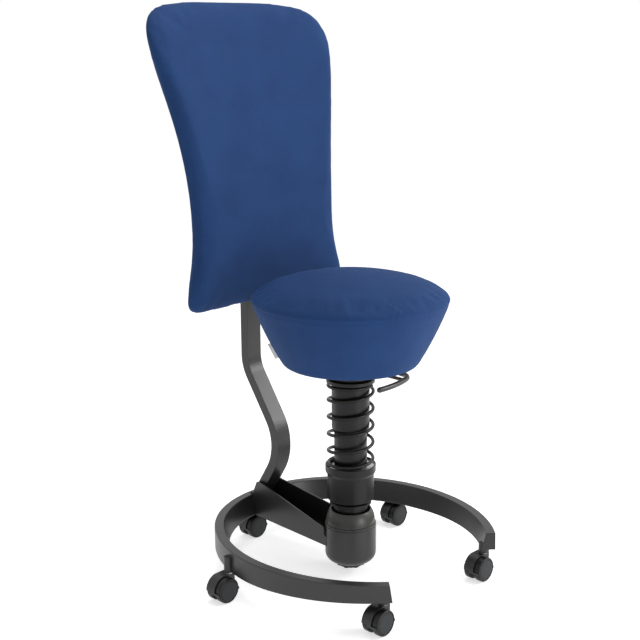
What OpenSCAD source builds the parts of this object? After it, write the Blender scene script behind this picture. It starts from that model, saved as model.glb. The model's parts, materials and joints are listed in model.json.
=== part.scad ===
// Balance stool with backrest. A round seat on a sprung column rocks in a rubber
// buffer, in the middle of an open foot ring on five twin-wheel casters. The backrest
// stands on a bent bar at the rear of the ring.
// The origin lies on the floor under the column. The front is -Y and right is +X.

/* [Foot ring] */
// Outer half width of the foot ring, side to side
ring_half_w = 273.5; // [262:0.5:290]
// Outer half length of the foot ring, front to back
ring_half_l = 295.5; // [285:0.5:312]
// How far the middle of the ring lies behind the column (negative is in front)
ring_mid_y = -2; // [-6:0.5:4]
// Height of the ring's section
ring_h = 45; // [38:0.5:52]
// Width of the section at the top
ring_top_w = 19; // [15:0.5:24]
// Width of the section at the bottom
ring_bottom_w = 31; // [27:0.5:36]
// Radius of the ring's two front arms, in plan
arm_r = 340; // [330:1:350]
// Angle that each front arm turns through from the ring's widest point
arm_angle = 46.7; // [46:0.1:47.5]
// How far the underside of the arms rises towards their ends
arm_rise = 11; // [8:0.5:13]
// How far the top of the arms falls towards their ends
arm_fall = 1.5; // [0.5:0.5:2]
// How far the foot of each arm's end stands out beyond its top
end_slant = 7; // [4:0.5:9]

/* [Casters] */
// Wheel radius
wheel_r = 25.5; // [23:0.5:29]
// Width of one wheel
wheel_w = 13.5; // [11:0.1:14]
// Distance from the swivel axis to the axle
caster_trail = 16; // [13:0.5:19]
// Radius of the grip pin in the ring
stem_r = 5.5; // [5:0.1:6]

/* [Beam and post] */
// Sheet thickness of the channel beam
sheet = 3.5; // [2.5:0.1:4.5]
// Half width of the beam where it meets the ring
beam_rear_w = 24.5; // [23.5:0.5:30]
// Half width of the beam where it meets the cup
beam_front_w = 48; // [42:0.5:50]
// Height of the beam's walls at the post
beam_wall_h = 80; // [70:1:90]
// Width of the bar that carries the backrest
post_w = 38; // [32:0.5:39]
// Thickness of that bar
post_t = 21; // [17:0.5:23]
// Height of the bar's forward knee
knee_z = 229; // [215:1:240]
// Distance of the knee's corner from the column
knee_y = 183.8; // [175:0.5:192]

/* [Rocking joint] */
// Height of the rocking centre over the underside of the ring
pivot_rise = 54; // [50:0.5:60]
// Radius of the rubber buffer
buffer_r = 50.7; // [50:0.1:51.2]
// Outer radius of the cup that holds the buffer
cup_r = 53; // [52.6:0.1:56]
// Radius of the steel ball in the buffer
ball_r = 22; // [20:0.5:23]

/* [Column] */
// Outer radius of the fixed inner tube
lower_tube_r = 33.8; // [32:0.1:34.5]
// Outer radius of the gas cylinder
gas_r = 25; // [23:0.5:27]
// Radius of the chromed piston tube
piston_r = 14; // [12:0.5:16]
// Height of the turned cup under the spring
adjuster_h = 66; // [58:1:74]
// Free height of the spring between its two plates
spring_h = 179; // [170:1:190]
// Mean radius of the spring
spring_r = 46; // [45.6:0.1:46.8]
// Thickness of the spring wire
spring_wire = 7; // [5:0.5:7.5]
// Rise of one open turn of the spring
spring_pitch = 36; // [30:0.5:40]
// Thickness of the plate on top of the spring
flange_t = 8; // [7:0.5:10]
// Travel of the sprung part
bounce = 60; // [40:1:62]

/* [Seat] */
// Radius of the seat at its rim
seat_r = 199; // [180:1:202]
// Radius of the seat at its underside
seat_foot_r = 135; // [130:1:142]
// Height of the seat from its board to the seam
seat_side_h = 126; // [115:1:135]
// Height of the crown over the seam
seat_crown = 58; // [50:1:64]
// Height of the housing under the seat
hub_h = 33; // [33:0.5:38]
// Reach of the lever from the column to its handle
lever_reach = 118; // [112:1:124]
// Radius of the long curve of the handle
handle_r = 220; // [180:1:260]
// Thickness of the handle's rod
rod_d = 11; // [9:0.5:12]

/* [Backrest] */
// Half width of the backrest at its waist
back_waist_w = 195; // [180:1:210]
// Height of the waist over the floor
back_waist_z = 714; // [700:1:740]
// Height of the backrest's lower edge
back_z0 = 543; // [530:1:555]
// Height of the backrest's upper edge
back_z1 = 1156; // [1120:1:1180]
// Foremost point of the backrest, behind the column
back_front_y = 228.5; // [224:0.5:232]
// Thickness of the backrest's padding
back_pad_t = 42; // [36:0.5:48]

/* [Hidden] */

// Clearances: a running fit, and the gap between a soft or curved face and its neighbour
fit = 0.05;
skin = 0.3;
// Length by which a cutter passes the face it opens
over = 1;

// Colours
powder = "#3f4042";
black = "#242527";
rubber = "#2b2d2b";
blue = "#31508a";
steel = "#c9ccd0";
plastic = "#1d1e20";

// Heights of the casters and the ring
hood_gap = 2;
hood_top = 2 * wheel_r + hood_gap;
collar_gap = 0.8;
collar_t = 2.2;
ring_z0 = hood_top + collar_gap + collar_t;
ring_z1 = ring_z0 + ring_h;
ring_edge = 2;

// The ring is drawn as its left half and mirrored. Each half is an arm in front of the
// widest point, a side arc behind it and the rear arc, which meet at 45 degrees. The centre of
// the rear arc lies arc_shift behind the ring's middle, that of the side arc as far to the right.
arc_shift = (ring_half_l - ring_half_w) * (1 + 1 / sqrt(2));
end_arc_r = ring_half_l - arc_shift;
side_arc_r = ring_half_w + arc_shift;
rear_arc = [0, ring_mid_y + arc_shift];
side_arc = [arc_shift, ring_mid_y];
arm = [arm_r - ring_half_w, ring_mid_y];

// Each caster's stem lies on a ray from one of those centres, inside or outside the outer
// wall. A boss takes the stem where the section alone is too narrow.
front_inset = 22;
side_inset = -2;
rear_inset = 13.5;
front_ray = 45.2;
side_ray = 17.05;
function on_ray(centre, r, a) = centre + r * [cos(a), sin(a)];
front_stem = on_ray(arm, arm_r - front_inset, 180 + front_ray);
side_stem = on_ray(side_arc, side_arc_r - side_inset, 180 - side_ray);
stems = [front_stem, [-front_stem.x, front_stem.y], [-side_stem.x, side_stem.y],
    on_ray(rear_arc, end_arc_r - rear_inset, 90), side_stem];
front_boss_r = 11;
front_boss_h = 19;
side_boss_r = 9;
side_boss_h = 32;
stem_h = 16;
collar_r = 8;
pin_r = 4;
pin_h = 16;
web_half_w = 5.4;
web_gap = 0.6;
hood_under = 5;

// Rocking joint
pivot_z = ring_z0 + pivot_rise;
pivot = [0, 0, pivot_z];
buffer_z0 = pivot_z - 38;
buffer_z1 = pivot_z + 27;
cup_z0 = pivot_z - 86;
cup_z1 = pivot_z - 2;
cup_round = 19;
cup_hollow_r = 28;
cup_floor = 28;
lip_h = 5;
lip_in = 1.1;
neck_r = 36;
neck_gap = 5;
stud_r = 9;
stud_gap = 7;
knob_r = 30;
knob_lobe_r = 6.5;
knob_lobes = 8;
knob_h = 9;
tilt_screw_r = 8;

// Column
neck_z0 = pivot_z + 21;
foot_z0 = pivot_z + 40;
foot_t = 5;
foot_r = 43;
tube_z0 = foot_z0 + foot_t;
lower_tube_wall = 2.5;
adjuster_z0 = tube_z0 + 5;
adjuster_r = 48.2;
seat_plate_z0 = adjuster_z0 + adjuster_h;
seat_plate_t = 5;
adjuster_lip_r = spring_r + spring_wire / 2 + 2.7;
adjuster_lip_z = 9.4;
spring_z0 = seat_plate_z0 + seat_plate_t;
flange_z0 = spring_z0 + spring_h;
column_top = flange_z0 + flange_t;
lower_tube_h = spring_z0 + spring_h - 64 - tube_z0;
bush_h = 20;
upper_tube_h = 96;
upper_tube_bore = lower_tube_r + skin;
upper_tube_r = upper_tube_bore + 4.7;
gas_z0 = tube_z0 + bounce + 7;
gas_wall = 2;
guide_h = 110;
piston_z0 = gas_z0 + 13;

// Seat housing and lever. The lever lies along stem_dir, 17 degrees right of the front. Its
// stem droops by handle_drop, and its handle is one long curve that ends in a hook.
hub_z0 = column_top + 1;
hub_r = 45;
stem_dir = -73;
piston_top = hub_z0 + 7;
pin_top = piston_top + 6.2;
release_r = 3;
block_z0 = pin_top + skin;
block_h = 9;
rod_z = block_z0 + block_h / 2;
block_w = 11;
block_in = 8;
block_out = 36;
slot_w = 13;
slot_z0 = hub_z0 + 9;
slot_z1 = hub_z0 + 29;
lever_pivot = 30;
lever_pin_r = 2.5;
lever_pin_h = 33;
handle_drop = 10;
lever_stem_r = 3.5;
handle_from = -22.6;
hook_from = 2;
hook_to = 74;
hook_r = 36;
seat_z0 = hub_z0 + hub_h;
pan_r = 112;
pan_t = 12;
screw_ring = 36;
screw_r = 2.5;
screw_head_r = 4.5;
screw_head_h = 4;
screw_grip = 11;

// Seat cushion: its foot hangs a little below the board, the rim rolls out over the seam, and
// the crown is one arc that leaves the rim's roll at crown_a
seat_seam_z = seat_z0 + seat_side_h;
foot_drop = 4;
rim_round = 14;
rim_lift = 12;
rim_from = -55;
crown_a = 70;
seat_foot_round = 13;
flank_belly = 3.5;
tag_t = 1;

// Backrest: the padding's front is a shallow arch, foremost at arch_z. Each rate is the
// rise of a parabola over the square of a distance.
arch_z = 680;
arch_rate = 0.000445;
wrap_rate = 0.00035;
flare_up = 0.000512;
flare_down = 0.001944;
upper_corner = 4.6;
lower_corner = 8.9;
back_mid_z = (back_z0 + back_z1) / 2;
back_half_h = (back_z1 - back_z0) / 2;
pad_share = back_pad_t / 2 / back_waist_w;
shell_t = 5;
shell_scale = 1 - pad_share + 0.008;
plate_t = 4;
plate_w = 50;
plate_h = 55;
shell_y = back_front_y + back_pad_t + skin;
plate_y = shell_y + shell_t + arch_rate * plate_h * plate_h + 0.65;
back_screw_x = 35;
back_screw_z = 30;
back_screw_in = 2;
post_top_y = plate_y + plate_t + post_t / 2;
post_foot_y = ring_mid_y + ring_half_l - 36.5;

function unit(v) = v / norm(v);
function left_of(v) = unit([-v.y, v.x]);

// Points of an arc about c, from angle a0 to a1 in n steps
function arc(c, r, a0, a1, n) =
    [for (i = [0:n]) let (a = a0 + (a1 - a0) * i / n) c + r * [cos(a), sin(a)]];

// Corner b of the outline a, b, c, rounded by radius r in n steps
function corner(a, b, c, r, n) =
    r == 0 ? [b] :
    let (u = unit(a - b), v = unit(c - b), half = acos(u * v) / 2)
    let (m = b + unit(u + v) * r / sin(half))
    let (s = b + u * r / tan(half) - m, e = b + v * r / tan(half) - m)
    let (a0 = atan2(s.y, s.x), turn = atan2(s.x * e.y - s.y * e.x, s * e))
    arc(m, r, a0, a0 + turn, n);

// Points of the arc from a to b that bellies out to the right of the line by s
function bulged(a, b, s, n) =
    let (c = norm(b - a), r = (c * c / 4 + s * s) / (2 * s))
    let (m = (a + b) / 2 + (r - s) * left_of(b - a))
    arc(m, r, atan2(a.y - m.y, a.x - m.x), atan2(b.y - m.y, b.x - m.x), n);

// Closed outline p with each corner rounded by its radius in rs
function rounded(p, rs, n) =
    let (k = len(p))
    [for (i = [0:k - 1]) each corner(p[(i + k - 1) % k], p[i], p[(i + 1) % k], rs[i], n)];

// One edge of a bent bar: the open path p, moved off to its left, its bends about the same
// centres as those of the path
function bar_edge(p, rs, off, n) =
    let (k = len(p))
    [for (i = [0:k - 1]) each
        i == 0 ? [p[0] + off * left_of(p[1] - p[0])] :
        i == k - 1 ? [p[k - 1] + off * left_of(p[k - 1] - p[k - 2])] :
        let (d1 = unit(p[i] - p[i - 1]), d2 = unit(p[i + 1] - p[i]))
        let (n1 = left_of(d1), n2 = left_of(d2), m = p[i] + off * (n1 + n2) / (1 + n1 * n2))
        corner(m - d1, m, m + d2, rs[i] - sign(cross(d1, d2)) * off, n)];

function bar_outline(p, rs, t, n) =
    let (far = bar_edge(p, rs, -t / 2, n))
    concat(bar_edge(p, rs, t / 2, n), [for (i = [len(far) - 1:-1:0]) far[i]]);

// A YZ outline drawn out along X, centred
module along_x(w) {
    rotate([90, 0, 90])
        linear_extrude(w, center = true)
            children();
}

// A tube or, without a bore, a rod
module tube(r, bore, z0, z1, fn) {
    difference() {
        translate([0, 0, z0])
            cylinder(r = r, h = z1 - z0, $fn = fn);
        if (bore > 0)
            translate([0, 0, z0 - over])
                cylinder(r = bore, h = z1 - z0 + 2 * over, $fn = fn);
    }
}

// Foot ring
function ring_section(r) =
    rounded([[r - ring_bottom_w, ring_z0], [r, ring_z0], [r, ring_z1], [r - ring_top_w, ring_z1]],
        [ring_edge, ring_edge, ring_edge, ring_edge], 2);

module ring_arc(centre, r, from, to) {
    translate([centre.x, centre.y, 0])
        rotate([0, 0, from])
            rotate_extrude(angle = to - from, $fn = 96)
                polygon(ring_section(r));
}

// What is cut away under or over the arms, so that their height shrinks by fall from taper_y
// forward to the front of the ring. The cut starts at level z, and far is a level beyond it.
module arm_taper(z, fall, far) {
    taper_y = 40;
    slope = fall / (taper_y + ring_half_l);
    y0 = -2 * ring_half_l;
    y1 = taper_y + 100;
    along_x(4 * ring_half_w)
        polygon([[y1, z + slope * 100], [y0, z - slope * (taper_y - y0)], [y0, far], [y1, far]]);
}

// What is cut from the left arm's end, so that it slants outwards to its foot
module arm_end() {
    slant = end_slant / ring_h;
    translate([arm.x, arm.y, 0])
        rotate([0, 0, 180 + arm_angle])
            translate([arm_r, 0, 0])
                along_x(4 * ring_bottom_w)
                    polygon([
                        [end_slant + slant * over, ring_z0 - over], [-slant * over, ring_z1 + over],
                        [4 * ring_h, ring_z1 + over], [4 * ring_h, ring_z0 - over]]);
}

module half_ring() {
    end_angle = arm_angle + 2 * asin(end_slant / arm_r);
    difference() {
        ring_arc(arm, arm_r, 180, 180 + end_angle);
        arm_end();
    }
    ring_arc(side_arc, side_arc_r, 135, 180);
    ring_arc(rear_arc, end_arc_r, 90, 135);
}

module foot_ring() {
    color(powder)
        difference() {
            union() {
                difference() {
                    union() {
                        half_ring();
                        mirror([1, 0, 0])
                            half_ring();
                    }
                    arm_taper(ring_z0, -arm_rise, 0);
                    arm_taper(ring_z1, arm_fall, 2 * ring_z1);
                }
                for (i = [0, 1])
                    at_stem(i)
                        tube(front_boss_r, 0, ring_z0, ring_z0 + front_boss_h, 48);
                for (i = [2, 4])
                    at_stem(i)
                        rotate([0, 0, i == 2 ? 0 : 180])
                            tube(side_boss_r, 0, ring_z0, ring_z0 + side_boss_h, 32);
            }
            for (s = stems)
                translate([s.x, s.y, ring_z0 - over])
                    cylinder(r = stem_r + fit, h = stem_h + over + skin, $fn = 24);
        }
}

// What lies outside the ring's sloping inner wall, at the rear: the beam and the bar are
// cut by it, so that they butt on the wall. It starts drop below the ring.
module behind_ring_wall() {
    drop = 5;
    r1 = end_arc_r - ring_top_w;
    r0 = r1 - (ring_bottom_w - ring_top_w) * (ring_h + drop) / ring_h;
    translate([rear_arc.x, rear_arc.y, 0])
        rotate([0, 0, 75])
            rotate_extrude(angle = 30, $fn = 96)
                polygon([[r0, ring_z0 - drop], [r1 + 40, ring_z0 - drop],
                    [r1 + 40, ring_z1], [r1, ring_z1]]);
}

// Channel beam: its side view drawn out along X, its plan drawn out along Z, what both share
beam_lift = 4;
beam_y0 = 10;
beam_y1 = ring_mid_y + ring_half_l - ring_top_w + 3;
beam_ear_y = post_foot_y + post_t / 2;

function beam_half_w(y) =
    beam_front_w + (beam_rear_w - beam_front_w) * (y - cup_r / 2) / (beam_ear_y - cup_r / 2);

function beam_bottom(y) = ring_z0 + beam_lift * (1 - y / beam_y1);

module beam_plan(inset) {
    linear_extrude(pivot_z + beam_wall_h)
        polygon([
            [-beam_half_w(beam_y0) + inset, beam_y0], [beam_half_w(beam_y0) - inset, beam_y0],
            [beam_half_w(beam_y1) - inset, beam_y1], [-beam_half_w(beam_y1) + inset, beam_y1]]);
}

// The room over the beam's web, far past its ends
module over_web() {
    along_x(4 * beam_front_w)
        polygon([
            [0, beam_bottom(0) + sheet], [beam_y1 + 5, beam_bottom(beam_y1 + 5) + sheet],
            [beam_y1 + 5, 3 * pivot_z], [0, 3 * pivot_z]]);
}

module channel_beam() {
    top = ring_z0 + beam_wall_h;
    side = [[beam_y0, beam_bottom(beam_y0)], [beam_y1, beam_bottom(beam_y1)],
        [beam_y1, ring_z1 - 10], [beam_ear_y + 2, ring_z1 + 6], [beam_ear_y - 12, top],
        [beam_ear_y - 32, top], [beam_y0, ring_z0 + 36]];
    color(powder)
        difference() {
            intersection() {
                beam_plan(0);
                along_x(4 * beam_front_w)
                    polygon(rounded(side, [0, 0, 0, 0, 4, 10, 0], 4));
            }
            intersection() {
                beam_plan(sheet);
                over_web();
            }
            behind_ring_wall();
            cylinder(r = cup_r, h = 2 * pivot_z, $fn = 96);
            translate([0, 0, ring_z0 + beam_lift + sheet + 16])
                cylinder(r = cup_r + 4, h = pivot_z, $fn = 96);
        }
}

// Cup that holds the rubber buffer
module hub_cup() {
    groove_z = cup_z1 - lip_h;
    section = rounded([
        [0, cup_z0], [cup_r, cup_z0], [cup_r, groove_z - 0.6], [cup_r - lip_in, groove_z],
        [cup_r - lip_in, groove_z + 0.8], [cup_r - 0.4, groove_z + 1.4], [cup_r - 0.4, cup_z1 - 0.8],
        [cup_r - 1.2, cup_z1], [0, cup_z1]],
        [0, cup_round, 0, 0, 0, 0, 0, 0, 0], 6);
    color(powder)
        difference() {
            rotate_extrude($fn = 96)
                polygon(section);
            translate(pivot)
                sphere(r = buffer_r + skin, $fn = 96);
            translate([0, 0, cup_z0 + cup_floor])
                cylinder(r = cup_hollow_r, h = pivot_z - cup_z0 - cup_floor, $fn = 64);
            translate([0, 0, cup_z0 - over])
                cylinder(r = tilt_screw_r + fit, h = cup_floor + 2 * over, $fn = 32);
        }
}

// Bent bar from the ring to the backrest
module back_post() {
    path = [
        [post_top_y, arch_z + plate_h], [post_top_y, 393], [knee_y, knee_z],
        [post_foot_y, ring_z0 + 56], [post_foot_y, ring_z0 - over]];
    color(powder)
        intersection() {
            difference() {
                along_x(post_w)
                    polygon(bar_outline(path, [0, 80, 106, 30, 0], post_t, 20));
                behind_ring_wall();
            }
            union() {
                over_web();
                translate([-post_w, 0, pivot_z])
                    cube([2 * post_w, 2 * ring_half_l, back_z1]);
            }
        }
}

module post_foot() {
    y0 = post_foot_y + post_t / 2;
    color(powder)
        translate([-20, y0, ring_z1])
            cube([40, 15, 3]);
}

module caster_stems() {
    color(steel)
        for (s = stems)
            translate([s.x, s.y, 0]) {
                tube(pin_r, 0, hood_top - pin_h, ring_z0, 24);
                tube(collar_r, 0, hood_top + collar_gap, ring_z0, 32);
                tube(stem_r, 0, ring_z0 - fit, ring_z0 + stem_h, 24);
            }
}

// Casters. A caster is drawn with its swivel axis at the origin and trails to -X, so its
// left wheel is on the +Y side (side 1).
module wheel(side) {
    inner = web_half_w + web_gap;
    outer = inner + wheel_w;
    section = rounded([
        [3 + fit, inner], [wheel_r, inner], [wheel_r, outer], [wheel_r - 3, outer],
        [wheel_r - 4, outer - 1.6], [7, outer - 2.2], [6, outer - 1.2], [0, outer - 1.2],
        [0, outer - 2.4], [3 + fit, outer - 2.4]],
        [0, 2, 2.5, 0, 0, 0, 0, 0, 0, 0], 3);
    color(plastic)
        translate([-caster_trail, 0, wheel_r])
            rotate([side * -90, 0, 0])
                rotate_extrude($fn = 40)
                    polygon(section);
}

module caster_axle() {
    reach = web_half_w + web_gap + wheel_w - 2.6;
    color(steel)
        translate([-caster_trail, 0, wheel_r])
            rotate([90, 0, 0])
                cylinder(r = 3, h = 2 * reach, center = true, $fn = 24);
}

module caster_hood() {
    hood_r = wheel_r + hood_gap;
    half_w = web_half_w + wheel_w - 0.9;
    color(plastic)
        difference() {
            translate([-caster_trail, 0, wheel_r]) {
                difference() {
                    union() {
                        rotate([90, 0, 0])
                            cylinder(r = hood_r, h = 2 * half_w, center = true, $fn = 48);
                        translate([0, -half_w, 0])
                            cube([hood_r, 2 * half_w, hood_r]);
                    }
                    for (side = [-1, 1])
                        rotate([side * -90, 0, 0])
                            translate([0, 0, web_half_w]) {
                                cylinder(r = wheel_r + 0.8, h = wheel_w + over, $fn = 48);
                                translate([-2 * hood_r, 0, 0])
                                    cube([4 * hood_r, 2 * hood_r, wheel_w + over]);
                            }
                    translate([-2 * hood_r, -half_w - over, -2 * hood_r - hood_under])
                        cube([4 * hood_r, 2 * half_w + 2 * over, 2 * hood_r]);
                    rotate([90, 0, 0])
                        cylinder(r = 3 + fit, h = 4 * half_w, center = true, $fn = 24);
                }
            }
            translate([0, 0, hood_top - pin_h - skin])
                cylinder(r = pin_r + fit, h = pin_h + over, $fn = 24);
        }
}

module at_stem(i) {
    translate([stems[i].x, stems[i].y, 0])
        children();
}

// Backrest
function pad_half_w(z) =
    back_waist_w + (z > back_waist_z ? flare_up : flare_down) * pow(z - back_waist_z, 2);

// Point of the backrest's outline in direction a, drawn in by share f, as [x, z]
function pad_outline(a, f) =
    let (n = sin(a) > 0 ? upper_corner : lower_corner)
    let (r = f * pow(pow(abs(cos(a)), n) + pow(abs(sin(a)), n), -1 / n))
    let (z = back_mid_z + back_half_h * r * sin(a))
    [pad_half_w(z) * r * cos(a), z];

// Depth of the padding's front face at x, z, without its rounded edge
function pad_front(x, z) = back_front_y + arch_rate * pow(z - arch_z, 2) - wrap_rate * x * x;

// A closed body between rings of points. Each ring is [share of the outline, depth]. The lean
// is which way the quads between two rings are split, so that facing bodies can match.
module pad_body(rings, steps, lean) {
    k = len(rings);
    points = [for (ring = rings) for (i = [0:steps - 1])
        let (p = pad_outline(360 * i / steps, ring[0]))
        [p.x, pad_front(p.x, p.y) + ring[1], p.y]];
    ends = [for (ring = [rings[0], rings[k - 1]])
        [0, pad_front(0, back_mid_z) + ring[1], back_mid_z]];
    front = k * steps;
    sides = [for (j = [0:k - 2]) for (i = [0:steps - 1])
        let (a = j * steps + i, b = j * steps + (i + 1) % steps)
        each lean ? [[a, a + steps, b + steps], [a, b + steps, b]]
            : [[a, a + steps, b], [b, a + steps, b + steps]]];
    caps = [for (i = [0:steps - 1])
        let (j = (i + 1) % steps, last = (k - 1) * steps)
        each [[front, i, j], [front + 1, last + j, last + i]]];
    polyhedron(concat(points, ends), concat(sides, caps), convexity = 6);
}

module back_cushion() {
    edge = back_pad_t / 2;
    share = pad_share;
    round_over = [for (t = [-75:25:75]) [1 - share * (1 - cos(t)), edge * (1 + sin(t))]];
    crown = [[0.4, 0], [0.65, 0], [1 - share, 0.4]];
    rear = [[1 - share, 2 * edge], [0.65, 2 * edge], [0.4, 2 * edge]];
    color(blue)
        pad_body(concat(crown, round_over, rear), 64, false);
}

module back_shell() {
    y0 = back_pad_t + skin;
    y1 = y0 + shell_t;
    rim = shell_scale - 0.015;
    rings = [[0.4, y0], [0.65, y0], [1 - pad_share, y0], [shell_scale, y0], [shell_scale, y1 - 3],
        [rim, y1], [0.65, y1], [0.4, y1]];
    color(black)
        difference() {
            pad_body(rings, 64, true);
            at_back_screws()
                translate([0, 0, shell_y + back_screw_in - plate_y])
                    cylinder(r = 3 + fit, h = 2 * shell_t, $fn = 24);
        }
}

// Places the children at the plate's four screws, their Z along the screw
module at_back_screws() {
    for (x = [-back_screw_x, back_screw_x], z = [-back_screw_z, back_screw_z])
        translate([x, plate_y, arch_z + z])
            rotate([-90, 0, 0])
                children();
}

module back_plate() {
    color(powder)
        difference() {
            translate([-plate_w, plate_y, arch_z - plate_h])
                cube([2 * plate_w, plate_t, 2 * plate_h]);
            at_back_screws()
                cylinder(r = 3 + fit, h = 4 * plate_t, center = true, $fn = 24);
        }
}

module back_screws() {
    reach = plate_y - shell_y - back_screw_in - skin;
    color(steel)
        at_back_screws() {
            translate([0, 0, -reach])
                cylinder(r = 3, h = reach + plate_t + fit, $fn = 24);
            translate([0, 0, plate_t])
                cylinder(r = 5.5, h = 3.5, $fn = 32);
        }
}

// Rocking joint
module rubber_buffer() {
    color(rubber)
        difference() {
            intersection() {
                translate(pivot)
                    sphere(r = buffer_r, $fn = 96);
                translate([0, 0, buffer_z0])
                    cylinder(r = 2 * buffer_r, h = buffer_z1 - buffer_z0, $fn = 96);
            }
            translate(pivot)
                sphere(r = ball_r + skin, $fn = 64);
            translate(pivot)
                cylinder(r = stud_r + stud_gap, h = buffer_r, $fn = 48);
            translate([0, 0, neck_z0 - 6.5])
                cylinder(r = neck_r + neck_gap, h = buffer_r, $fn = 64);
        }
}

module ball_stud() {
    color(steel)
        union() {
            translate(pivot)
                sphere(r = ball_r, $fn = 64);
            tube(stud_r, 0, pivot_z, tube_z0 + 5, 32);
        }
}

module tilt_screw() {
    color(steel)
        tube(tilt_screw_r, 0, cup_z0 - knob_h + 2, cup_z0 + cup_floor + 7, 32);
}

module tilt_knob() {
    color(black)
        translate([0, 0, cup_z0 - knob_h - over])
            difference() {
                union() {
                    cylinder(r = knob_r - knob_lobe_r * 0.6, h = knob_h, $fn = 48);
                    for (i = [0:knob_lobes - 1])
                        rotate([0, 0, 360 * (i + 0.5) / knob_lobes])
                            translate([knob_r - knob_lobe_r, 0, 0.6])
                                cylinder(r = knob_lobe_r, h = knob_h - 1.2, $fn = 24);
                }
                translate([0, 0, 3])
                    cylinder(r = tilt_screw_r + fit, h = knob_h, $fn = 32);
            }
}

module column_foot() {
    color(black)
        difference() {
            union() {
                tube(neck_r, 0, neck_z0, foot_z0 + fit, 64);
                tube(foot_r, 0, foot_z0, tube_z0, 64);
            }
            translate(pivot)
                sphere(r = ball_r + fit, $fn = 64);
            translate(pivot)
                cylinder(r = stud_r + fit, h = 3 * buffer_r, $fn = 32);
        }
}

module lower_tube() {
    color(black)
        tube(lower_tube_r, lower_tube_r - lower_tube_wall, tube_z0, tube_z0 + lower_tube_h, 64);
}

module guide_bush() {
    top = tube_z0 + lower_tube_h;
    color(plastic)
        tube(lower_tube_r - lower_tube_wall - fit, gas_r + fit, top - bush_h, top, 64);
}

// Spring and its plates
module adjuster_cup() {
    lip_z = seat_plate_z0 + adjuster_lip_z;
    section = [
        [lower_tube_r + fit, adjuster_z0], [adjuster_r - 2, adjuster_z0],
        [adjuster_r, adjuster_z0 + 2], [adjuster_r, seat_plate_z0 - 12],
        [adjuster_lip_r, seat_plate_z0 - 5], [adjuster_lip_r, lip_z - 1],
        [adjuster_lip_r - 1, lip_z], [adjuster_lip_r - 2, lip_z],
        [adjuster_lip_r - 2, seat_plate_z0], [lower_tube_r + fit, seat_plate_z0]];
    color(black)
        rotate_extrude($fn = 72)
            polygon(section);
}

module spring_seat() {
    color(steel)
        tube(adjuster_lip_r - 2 - fit, lower_tube_r + skin, seat_plate_z0, spring_z0, 72);
}

// Height of the wire over its lowest turn after u turns. The first and the last turn ease
// into the flat.
function wire_rise(u, turns) =
    u < 1 ? spring_pitch * u * u / 2 :
    u > turns - 1 ? spring_pitch * (turns - 1 - pow(turns - u, 2) / 2) :
    spring_pitch * (u - 0.5);

// The spring is one tube of six sides, eight rings to the turn. Its sides lie flat towards
// the column, so the wire keeps its thickness there.
module coil_spring() {
    sides = 6;
    per_turn = 8;
    tube_r = spring_wire / 2 / cos(180 / sides);
    low = spring_z0 + skin + tube_r;
    turns = 1 + (flange_z0 - fit - tube_r - low) / spring_pitch;
    start = 24;
    count = ceil(turns * per_turn);
    function place(u) = let (a = start + 360 * u)
        [spring_r * cos(a), spring_r * sin(a), low + wire_rise(u, turns)];
    points = [for (i = [0:count]) let (u = turns * i / count, c = place(u), a = start + 360 * u)
        let (out = [cos(a), sin(a), 0])
        let (run = unit(place(min(u + 0.01, turns)) - place(max(u - 0.01, 0))))
        let (up = cross(out, run))
        for (k = [0:sides - 1]) let (b = 360 * (k + 0.5) / sides)
        c + tube_r * (cos(b) * out - sin(b) * up)];
    skin_faces = [for (i = [0:count - 1]) for (k = [0:sides - 1])
        let (a = i * sides + k, b = i * sides + (k + 1) % sides)
        each [[a, b, a + sides], [b, b + sides, a + sides]]];
    last = count * sides;
    ends = [for (k = [1:sides - 2]) each [[0, k + 1, k], [last, last + k, last + k + 1]]];
    gaps = [for (i = [0:count]) for (j = [i + 5:1:count])
        norm(place(turns * i / count) - place(turns * j / count)) - 2 * tube_r];
    echo("least gap of the spring to itself", min(gaps));
    color(black)
        polyhedron(points, concat(skin_faces, ends), convexity = 12);
}

module spring_flange() {
    color(black)
        difference() {
            rotate_extrude($fn = 72)
                polygon(rounded([
                    [0, flange_z0], [adjuster_lip_r - 2.5, flange_z0],
                    [adjuster_lip_r - 2.5, column_top], [0, column_top]], [0, 1, 1.5, 0], 3));
            translate([0, 0, flange_z0 - over])
                cylinder(r = gas_r + fit, h = flange_t + 2 * over, $fn = 64);
        }
}

module upper_tube() {
    color(black)
        tube(upper_tube_r, upper_tube_bore, flange_z0 - upper_tube_h, flange_z0, 64);
}

module gas_cylinder() {
    color(black)
        difference() {
            tube(gas_r, 0, gas_z0, column_top, 64);
            translate([0, 0, gas_z0 + 5])
                cylinder(r = gas_r - gas_wall, h = column_top, $fn = 64);
        }
}

module gas_guide() {
    color(plastic)
        tube(gas_r - gas_wall - fit, piston_r + fit, column_top - guide_h, column_top, 48);
}

module piston_tube() {
    color(steel)
        difference() {
            tube(piston_r, 0, piston_z0, piston_top, 48);
            translate([0, 0, piston_top - 40])
                cylinder(r = release_r + fit, h = 50, $fn = 24);
        }
}

module release_pin() {
    color(steel)
        tube(release_r, 0, piston_top - 30, pin_top, 24);
}

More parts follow.
